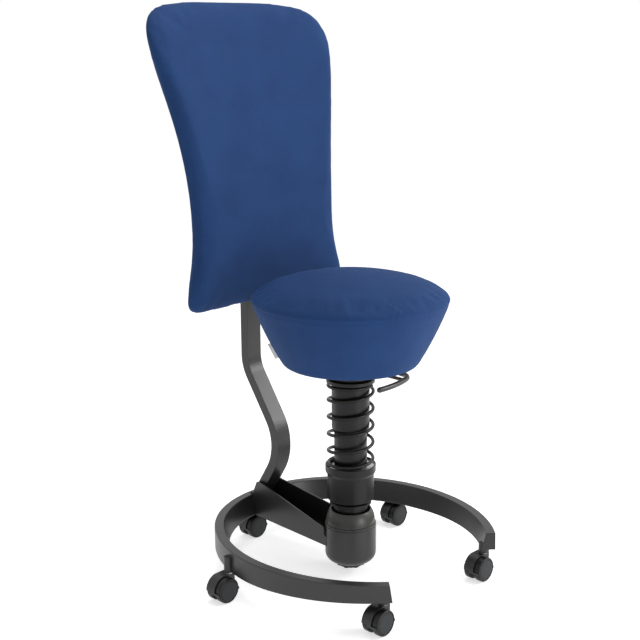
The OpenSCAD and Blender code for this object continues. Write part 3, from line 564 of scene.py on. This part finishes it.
# %% Backrest form
back_low, back_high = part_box("back_cushion")
WAIST_HALF_W = 0.195
WAIST_Z = 0.714
FLARE = (0.512, 1.944)
CORNER = (4.6, 8.9)
ARCH_Z = 0.680
ARCH = 0.445
WRAP = 0.35
PAD_T = 0.042
BACK_STEPS = 192
back_front = 0.2285
back_mid = (back_low.z + back_high.z) / 2
back_half = (back_high.z - back_low.z) / 2


def back_outline(turn, share):
    """Point of the backrest's outline in a direction, drawn in to a share of its size: x and z."""
    upper = math.sin(turn) > 0
    power = CORNER[0] if upper else CORNER[1]
    reach = share * (abs(math.cos(turn)) ** power + abs(math.sin(turn)) ** power) ** (-1 / power)
    z = back_mid + back_half * reach * math.sin(turn)
    half_w = WAIST_HALF_W + FLARE[0 if z > WAIST_Z else 1] * (z - WAIST_Z) ** 2
    return half_w * reach * math.cos(turn), z


def back_depth(x, z):
    """Depth of the front face at x and z."""
    return back_front + ARCH * (z - ARCH_Z) ** 2 - WRAP * x * x


def back_ring(share, depth):
    ring = []
    for i in range(BACK_STEPS):
        x, z = back_outline(2 * math.pi * i / BACK_STEPS, share)
        ring.append((x, back_depth(x, z) + depth, z))
    return ring


def back_skin(rows):
    """Skin of the backrest over rows of share and depth, closed in the middle at both ends."""
    ends = [(0, back_depth(0, back_mid) + rows[i][1], back_mid) for i in (0, -1)]
    return skin_of_rings([back_ring(*row) for row in rows], start=ends[0], end=ends[1])

# %% Backrest padding
EDGE = PAD_T / 2
TIGHT = 0.002


def padding_rows(tight):
    share = EDGE / WAIST_HALF_W
    rows = [(s, tight) for s in (0.2, 0.4, 0.6, 0.75)]
    rows += [(1 - share - tight * 4, tight)]
    for step in range(-75, 76, 15):
        roll = math.radians(step)
        rows.append((1 - share * (1 - math.cos(roll)) - tight * 4,
                     EDGE + (EDGE - tight) * math.sin(roll)))
    rows += [(s, 2 * EDGE) for s in (0.85, 0.75, 0.6, 0.4, 0.2)]
    return rows


def front_of(points):
    """Depth of the front face at each of many points."""
    return back_front + ARCH * (points[:, 2] - ARCH_Z) ** 2 - WRAP * points[:, 0] ** 2


def back_held(points):
    """True for the points on the padding's rear face."""
    return points[:, 1] - front_of(points) > PAD_T - 0.006


def back_seam(points):
    """Distance from the seam where the front panel meets the boxing at the rear edge."""
    return np.abs(points[:, 1] - front_of(points) - 0.78 * PAD_T)


def back_weave(points, centres, normals):
    return points[:, [0, 2]] + 0.5 * points[:, [1]] * np.sign(centres[:, [0]]) * [[1, 0]]


back = piece_of("back_upholstery", *back_skin(padding_rows(TIGHT)), wool_cloth)
puff(back, 0.0060, back_held, 0.0045)
fill_box(back, back_low, back_high, (0, 2), surface=front_of)
finish_pad(back, 6, back_seam, 0.0012, 0.003)
give_weave(back, back_weave)
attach(back, "base")
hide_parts("back_cushion")
print("backrest:", triangles(back), "triangles")

# %% [markdown]
# ## The backrest's shell
# Behind the padding lies a moulded nylon shell, a little smaller than the padding, with a
# rounded edge. The frame holds it as a coarse body. It is drawn again here with fine steps, so
# that its outline and its hollow curve are smooth from behind.

# %% Backrest shell
SHELL_SHARE = 0.9
SHELL_EDGE_R = 0.0025
shell_front = PAD_T + 0.0003
shell_back = shell_front + 0.005
shell_rows = [(s, shell_front) for s in (0.2, 0.5, 0.8, SHELL_SHARE - 0.004)]
shell_rows += [(SHELL_SHARE, shell_front + 0.0006), (SHELL_SHARE, shell_back - SHELL_EDGE_R)]
for step in range(15, 91, 15):
    roll = math.radians(step)
    shell_rows.append((SHELL_SHARE - 0.0125 * (1 - math.cos(roll)),
                       shell_back - SHELL_EDGE_R * (1 - math.sin(roll))))
shell_rows += [(s, shell_back) for s in (0.8, 0.5, 0.2)]
shell = piece_of("back_shell_moulding", *back_skin(shell_rows), nylon)
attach(shell, "base")
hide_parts("back_shell")
print("shell:", triangles(shell), "triangles")

# %% [markdown]
# ## The coil spring
# The spring is one round wire wound on a cylinder. Its first and last turn ease into the flat,
# so that it stands square on its plates. Such a shape follows a rule, which makes it a case for
# Geometry Nodes: a line gets as many points as needed, each point is set onto the helix by its
# index, and a circle is swept along it. Every size is an input that can be turned by hand.

# %% Spring tree
WIRE_R = 0.0035
PITCH = 0.036
POINTS_PER_TURN = 40
spring_low, spring_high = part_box("coil_spring")
# The frame's wire has six sides that enclose the round one, so its corners reach a little further
corner_reach = WIRE_R / math.cos(math.pi / 6)
first_turn = spring_low.z + corner_reach
SPRING = {"Mean radius": 0.046, "Wire radius": WIRE_R, "Pitch": PITCH, "First turn": first_turn,
          "Turns": 1 + (spring_high.z - corner_reach - first_turn) / PITCH, "Start angle": math.radians(24)}

tree = bpy.data.node_groups.new("wound_spring", "GeometryNodeTree")
tree.interface.new_socket("Geometry", in_out="INPUT", socket_type="NodeSocketGeometry")
sockets = {name: tree.interface.new_socket(name, in_out="INPUT", socket_type="NodeSocketFloat")
           for name in SPRING}
tree.interface.new_socket("Geometry", in_out="OUTPUT", socket_type="NodeSocketGeometry")
given = put(tree, "NodeGroupInput").outputs


def maths(operation, *values):
    return put(tree, "ShaderNodeMath", dict(enumerate(values)), operation=operation).outputs[0]


count = int(SPRING["Turns"] * POINTS_PER_TURN)
line = put(tree, "GeometryNodeCurvePrimitiveLine").outputs[0]
line = put(tree, "GeometryNodeResampleCurve", {"Curve": line, "Count": count + 1}).outputs[0]
index = put(tree, "GeometryNodeInputIndex").outputs[0]
turn = maths("MULTIPLY", maths("DIVIDE", index, count), given["Turns"])
first = maths("MINIMUM", turn, 1.0)
last_start = maths("SUBTRACT", given["Turns"], 1.0)
middle = maths("MAXIMUM", maths("SUBTRACT", maths("MINIMUM", turn, last_start), 1.0), 0.0)
last = maths("MAXIMUM", maths("SUBTRACT", turn, last_start), 0.0)
ease_in = maths("MULTIPLY", maths("MULTIPLY", first, first), 0.5)
ease_out = maths("SUBTRACT", last, maths("MULTIPLY", maths("MULTIPLY", last, last), 0.5))
rise = maths("ADD", maths("ADD", ease_in, middle), ease_out)
height = maths("MULTIPLY_ADD", rise, given["Pitch"], given["First turn"])
angle = maths("MULTIPLY_ADD", turn, 2 * math.pi, given["Start angle"])
spot = put(tree, "ShaderNodeCombineXYZ", {
    0: maths("MULTIPLY", maths("COSINE", angle), given["Mean radius"]),
    1: maths("MULTIPLY", maths("SINE", angle), given["Mean radius"]), 2: height}).outputs[0]
helix = put(tree, "GeometryNodeSetPosition", {"Geometry": line, "Position": spot}).outputs[0]
wire = put(tree, "GeometryNodeCurvePrimitiveCircle", {
    "Resolution": 16, "Radius": given["Wire radius"]}).outputs[0]
swept = put(tree, "GeometryNodeCurveToMesh", {
    "Curve": helix, "Profile Curve": wire, "Fill Caps": True}).outputs[0]
swept = put(tree, "GeometryNodeRealizeInstances", {"Geometry": swept}).outputs[0]
coated = put(tree, "GeometryNodeSetMaterial", {"Geometry": swept, "Material": black_enamel}).outputs[0]
put(tree, "NodeGroupOutput", {"Geometry": coated})
print("spring tree:", len(tree.nodes), "nodes,", round(SPRING["Turns"], 2), "turns")

# %% Spring
spring = piece_of("wound_spring", [(0, 0, 0)], [], black_enamel)
winder = spring.modifiers.new("winding", "NODES")
winder.node_group = tree
for name, value in SPRING.items():
    winder[sockets[name].identifier] = value
baked(spring)
spring.data.polygons.foreach_set("use_smooth", [len(p.vertices) < 5 for p in spring.data.polygons])
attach(spring, "carriage")
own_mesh(spring)
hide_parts("coil_spring")
print("spring:", triangles(spring), "triangles, from", round(spring_low.z, 4), "to", round(spring_high.z, 4))

# %% [markdown]
# ## The wheels
# Each caster wheel is turned once more with fine steps: a rounded tread, a narrow groove, and a
# smooth flat cover. One profile serves all ten. It starts at the bottom of the bore and runs
# round the tread to the middle of the cover.

# %% Wheels
BORE_R = 0.00305
WHEEL_STEPS = 72


def wheel_profile(radius, width):
    """Radius and distance from the wheel's inner face, from the end of its bore to its cover's middle."""
    inside = fillet((radius - 0.006, 0), (radius, 0), (radius, width / 2), 0.0020, 5)
    outside = fillet((radius, width / 2), (radius, width), (radius - 0.006, width), 0.0025, 6)
    groove = [(radius - inward, width - down) for inward, down in (
        (0.0034, 0), (0.0037, 0.0003), (0.0038, 0.0013), (0.0046, 0.0013), (0.0047, 0.0007), (0.0051, 0.0004))]
    cover = [(0.0190, width - 0.0002), (0.0140, width), (0.0080, width), (0.0030, width)]
    bore = [(BORE_R, width - 0.0024), (BORE_R, 0.0005), (BORE_R + 0.0005, 0)]
    return bore + inside + outside + groove + cover


def fine_wheel(name, side):
    """The wheel that replaces a node of the frame. Its outer face looks to side, 1 or -1 along Y."""
    low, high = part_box(name)
    middle, radius, width = (low + high) / 2, (high.z - low.z) / 2, high.y - low.y
    inner = low.y if side > 0 else high.y
    turns = [2 * math.pi * i / WHEEL_STEPS for i in range(WHEEL_STEPS)]
    rings = [[(middle.x + r * math.cos(t), inner + side * w, middle.z + r * math.sin(t)) for t in turns]
             for r, w in wheel_profile(radius, width)]
    ends = [(middle.x, inner + side * w, middle.z) for w in (width - 0.0024, width)]
    return piece_of("fine_" + name, *skin_of_rings(rings, start=ends[0], end=ends[1]), wheel_nylon)


for number in range(1, 6):
    for letter, side in (("l", 1), ("r", -1)):
        name = "wheel_%d_%s" % (number, letter)
        made = fine_wheel(name, side)
        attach(made, "caster_%d_%s" % (number, letter))
        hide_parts(name)
print("wheels: ten, with", triangles(made), "triangles each")

# %% [markdown]
# ## The label
# On the left of the band a small folded ribbon is caught in the seam. It is a strip that
# leaves the cloth, folds back in a tight loop and returns beside itself. It stays blank.

# %% Label
TAG_TURN = math.radians(132)
RIBBON_T = 0.0004
FOLD_R = 0.0007
TAG_ROOT = ((0.1405, board_low.z + 0.0090), (0.1555, board_low.z + 0.0395))
TAG_FOLD = ((0.1523, board_low.z + 0.0045), (0.1672, board_low.z + 0.0350))
outward = Vector((math.cos(TAG_TURN), math.sin(TAG_TURN), 0))
aside = Vector((-math.sin(TAG_TURN), math.cos(TAG_TURN), 0))


def ribbon_line(offset):
    """The ribbon's way out and back, as shares of its width and steps aside."""
    line = [(0.06 * i, FOLD_R + offset) for i in range(15)]
    line += [(0.9 + 0.05 * math.sin(math.radians(a)) * (FOLD_R + offset) / FOLD_R,
              (FOLD_R + offset) * math.cos(math.radians(a))) for a in range(0, 181, 20)]
    return line + [(0.06 * i, -FOLD_R - offset) for i in range(14, -1, -1)]


rings = []
for row in range(13):
    share = row / 12
    root = [a + (b - a) * share for a, b in zip(*TAG_ROOT)]
    fold = [a + (b - a) * share for a, b in zip(*TAG_FOLD)]
    ring = []
    for side in (RIBBON_T / 2, -RIBBON_T / 2):
        line = ribbon_line(side)
        for out, shift in (line if side > 0 else reversed(line)):
            radius, z = (a + (b - a) * out for a, b in zip(root, fold))
            curl = 0.0014 * out * out * (0.4 + 0.6 * share)
            ring.append(outward * radius + aside * (shift + curl) + Vector((0, 0, z)))
    rings.append(ring)
points, faces = skin_of_rings(rings)
width = len(rings[0])
half = width // 2
for first in (0, 12 * width):
    faces += [(first + i, first + i + 1, first + width - 2 - i, first + width - 1 - i) for i in range(half - 1)]
label = piece_of("blank_label", points, faces, label_ribbon)
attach(label, "seat")
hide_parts("seat_tag")
print("label:", triangles(label), "triangles")

# %% [markdown]
# ## Studio
# The picture is a cut-out on white with soft grey shadows under the casters. The floor and the
# surround are therefore lit to white where the lens looks, while the light that the surround
# sends to the stool is less than half of that, as in a studio whose walls are far away. A
# lamp hangs over the stool, another stands high on its right, and a weak one low in front, so
# that the side towards the camera's left falls into shade.

# %% Floor, surround and lamps
FLOOR_R = 6.0
paper, tree, shader = new_material("pale_paper", Roughness=0.9, IOR=1.3, Emission_Strength=0.6)
fibre = grain(tree, put(tree, "ShaderNodeTexCoord").outputs["Object"], 0.002)
tree.links.new(two_tones(tree, fibre, "#e9e9e9", "#ededed"), shader.inputs["Base Color"])
shader.inputs["Emission Color"].default_value = (1, 1, 1, 1)
floor = piece_of("floor", *skin_of_rings(
    [[(r * math.cos(2 * math.pi * i / 96), r * math.sin(2 * math.pi * i / 96), -0.0002) for i in range(96)]
     for r in (0.5, 1.5, FLOOR_R)], start=(0, 0, -0.0002)), paper)

SURROUND = 0.43
world = bpy.data.worlds.new("surround")
world.use_nodes = True
world.node_tree.nodes.clear()
sent = put(world.node_tree, "ShaderNodeLightPath").outputs["Is Diffuse Ray"]
strength = span(world.node_tree, sent, 1.0, SURROUND)
light = put(world.node_tree, "ShaderNodeBackground", {"Color": (1, 1, 1, 1), "Strength": strength})
put(world.node_tree, "ShaderNodeOutputWorld", {"Surface": light.outputs[0]})
bpy.context.scene.world = world


def lamp(name, place, aim, size, watts):
    data = bpy.data.lights.new(name, "AREA")
    data.shape = "DISK"
    data.size = size
    data.energy = watts
    made = bpy.data.objects.new(name, data)
    bpy.context.scene.collection.objects.link(made)
    made.location = place
    made.rotation_euler = (Vector(aim) - Vector(place)).to_track_quat("-Z", "Y").to_euler()
    return made


lamp("overhead", (0.2, 0.3, 3.4), (0, 0, 0), 1.6, 42)
lamp("right_front", (2.5, -1.9, 1.9), (0, 0, 0.5), 1.5, 54)
lamp("low_front", (0.2, -3.2, 0.4), (0, 0, 0.5), 1.6, 42)
print("studio: floor, surround", SURROUND, "and three lamps")
